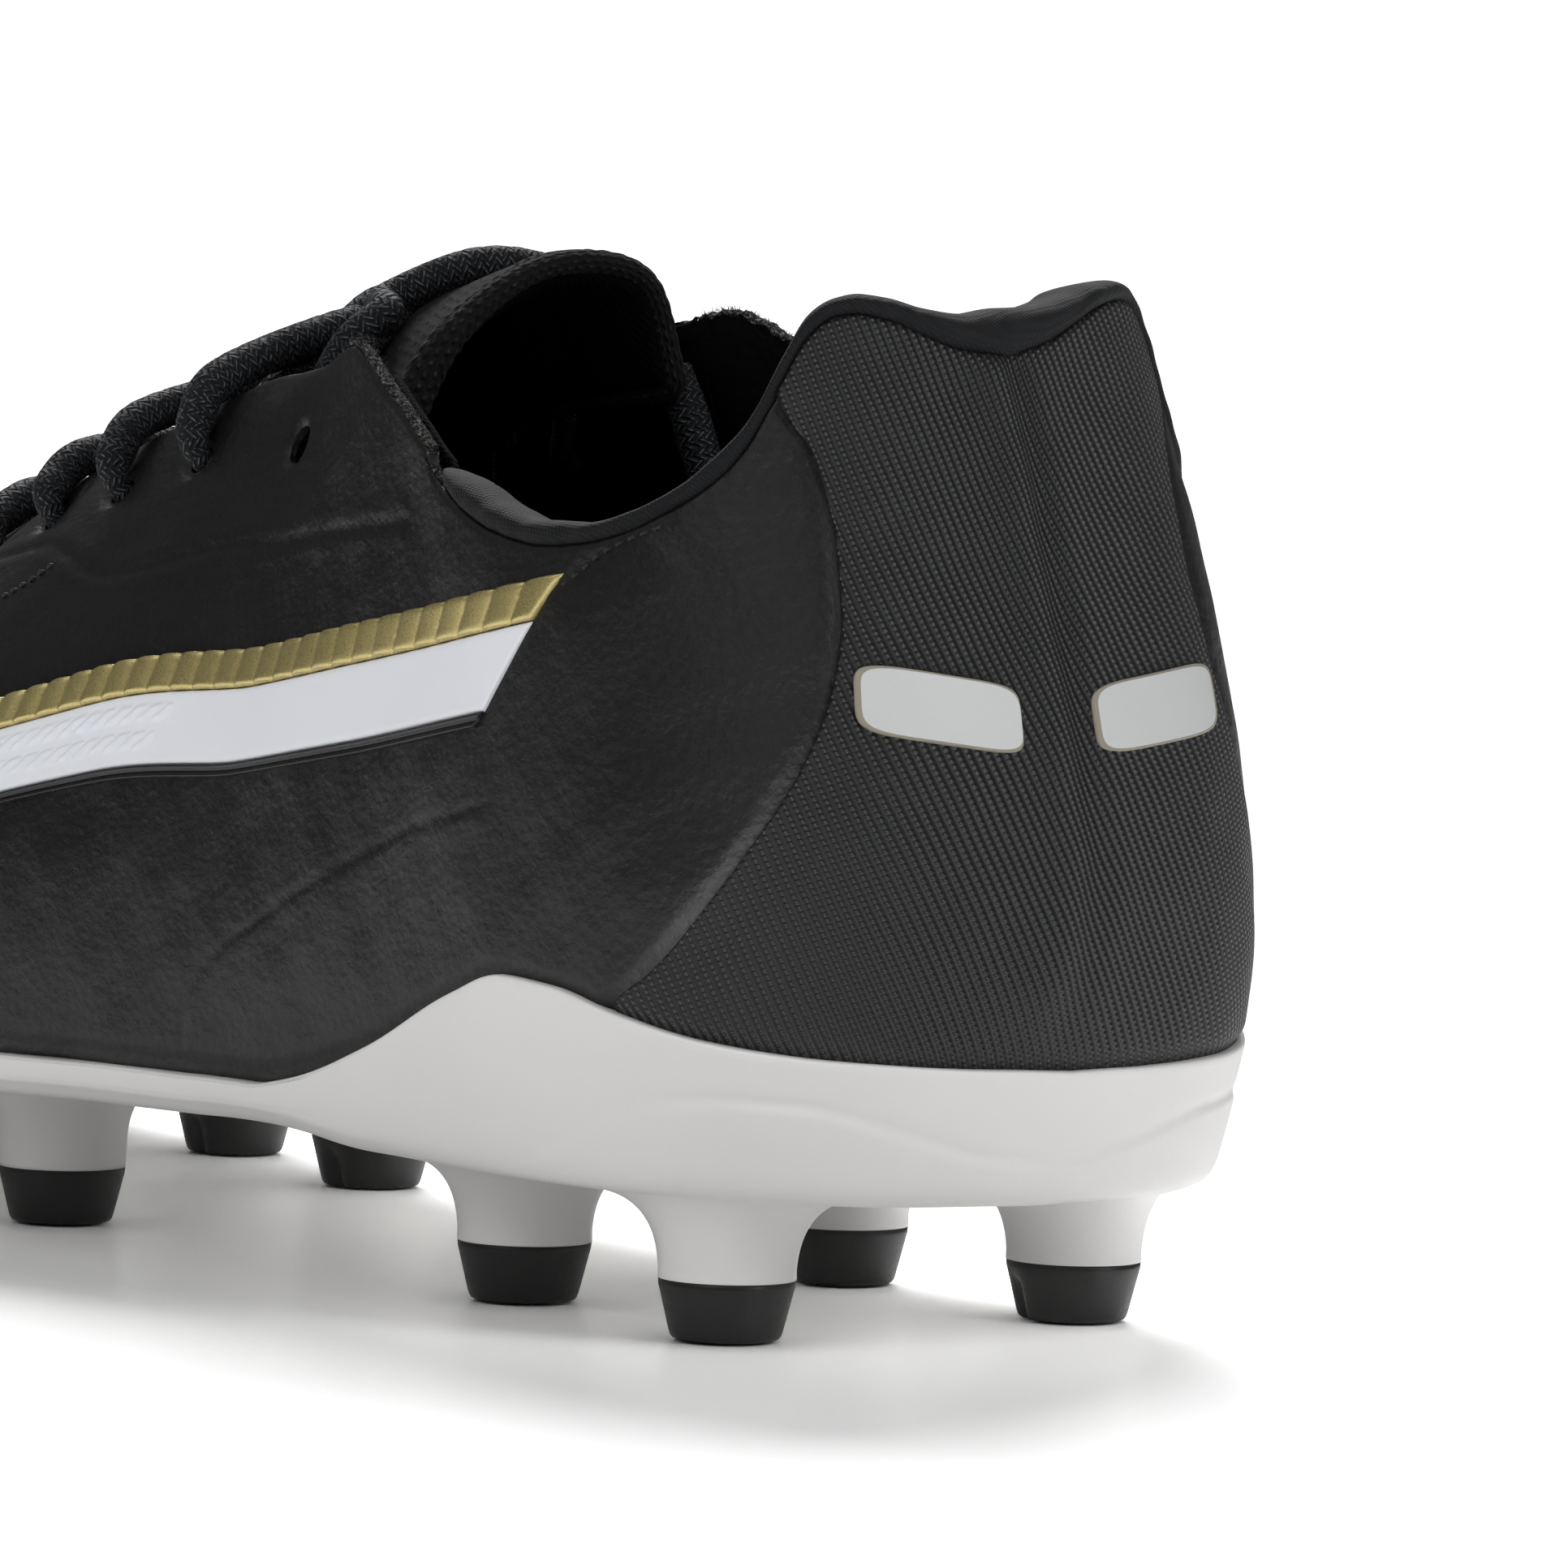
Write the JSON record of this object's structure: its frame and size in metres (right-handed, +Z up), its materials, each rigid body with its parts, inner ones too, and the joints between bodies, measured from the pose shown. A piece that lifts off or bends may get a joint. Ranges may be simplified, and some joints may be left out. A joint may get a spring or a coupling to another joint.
{
  "type": "soccer cleat",
  "caption": "Low-cut firm-ground soccer cleat for the left foot: moulded plate with conical studs, laced leather upper, padded collar and knit tongue.",
  "frame": {"origin": "on the ground, under the middle of the shoe's bounding box", "axes": "+Z up, -X towards the toe, +X towards the heel, -Y the lateral (outer) side, +Y the medial (inner) side of a left shoe"},
  "size_m": [0.2808, 0.1021, 0.1006],
  "materials": {
    "plate": "satin moulded thermoplastic",
    "stud_tip": "matte moulded",
    "leather": "soft semi-matte coated leather",
    "heel_twill": "embossed twill",
    "lining": "matte textile",
    "sockliner": "matte textile over foam",
    "collar_fabric": "soft brushed",
    "foam": "matte foam",
    "board": "pressed fibre",
    "gold_rib": "metallic ribbed film",
    "white_trim": "satin film",
    "piping": "satin",
    "knit": "open knit",
    "lace": "round braid",
    "aglet": "gloss",
    "stiffener": "matte sheet"
  },
  "bodies": {
    "shoe": {"collar_foam": "foam", "collar_roll": "collar_fabric", "eyestay_backing_lateral": "stiffener", "eyestay_backing_medial": "stiffener", "heel_badge_lateral": "white_trim", "heel_badge_medial": "white_trim", "heel_counter": "stiffener", "heel_panel": "heel_twill", "insole_board": "board", "lace": "lace", "outsole_plate": "plate", "quarter_lateral": "leather", "quarter_lining": "lining", "quarter_medial": "leather", "side_band_gold_lateral": "gold_rib", "side_band_gold_medial": "gold_rib", "side_band_piping_lateral": "piping", "side_band_piping_medial": "piping", "side_band_white_lateral": "white_trim", "side_band_white_medial": "white_trim", "stud_tip_ball_front_lateral": "stud_tip", "stud_tip_ball_front_medial": "stud_tip", "stud_tip_ball_mid_lateral": "stud_tip", "stud_tip_ball_mid_medial": "stud_tip", "stud_tip_ball_rear_lateral": "stud_tip", "stud_tip_ball_rear_medial": "stud_tip", "stud_tip_heel_front_lateral": "stud_tip", "stud_tip_heel_front_medial": "stud_tip", "stud_tip_heel_rear_lateral": "stud_tip", "stud_tip_heel_rear_medial": "stud_tip", "stud_tip_toe_lateral": "stud_tip", "stud_tip_toe_medial": "stud_tip", "toe_puff": "stiffener", "vamp": "leather", "vamp_lining": "lining"},
    "tongue": {"tongue_cover": "knit", "tongue_padding": "foam", "tongue_lace_keeper": "knit"},
    "sockliner": {"sockliner": "sockliner"},
    "lace_tail_lateral": {"lace_tail_lateral": "lace", "aglet_lateral": "aglet"},
    "lace_tail_medial": {"lace_tail_medial": "lace", "aglet_medial": "aglet"}
  },
  "joints": [
    {"name": "tongue_tilt", "type": "hinge", "parent": "shoe", "child": "tongue", "pos_m": [-0.0307, 0.0039, 0.056], "axis": [0, 1, 0], "range_deg": [0, 6]},
    {"name": "sockliner_lift", "type": "hinge", "parent": "shoe", "child": "sockliner", "pos_m": [-0.1337, 0.0084, 0.0254], "axis": [0, -1, 0], "range_deg": [0, 3]},
    {"name": "lace_tail_lateral_swing", "type": "hinge", "parent": "shoe", "child": "lace_tail_lateral", "pos_m": [0.04579, -0.01757, 0.07564], "axis": [0, 1, 0], "range_deg": [-10, 10]},
    {"name": "lace_tail_medial_swing", "type": "hinge", "parent": "shoe", "child": "lace_tail_medial", "pos_m": [0.0527, 0.0188, 0.0856], "axis": [0, 1, 0], "range_deg": [-10, 10]}
  ]
}
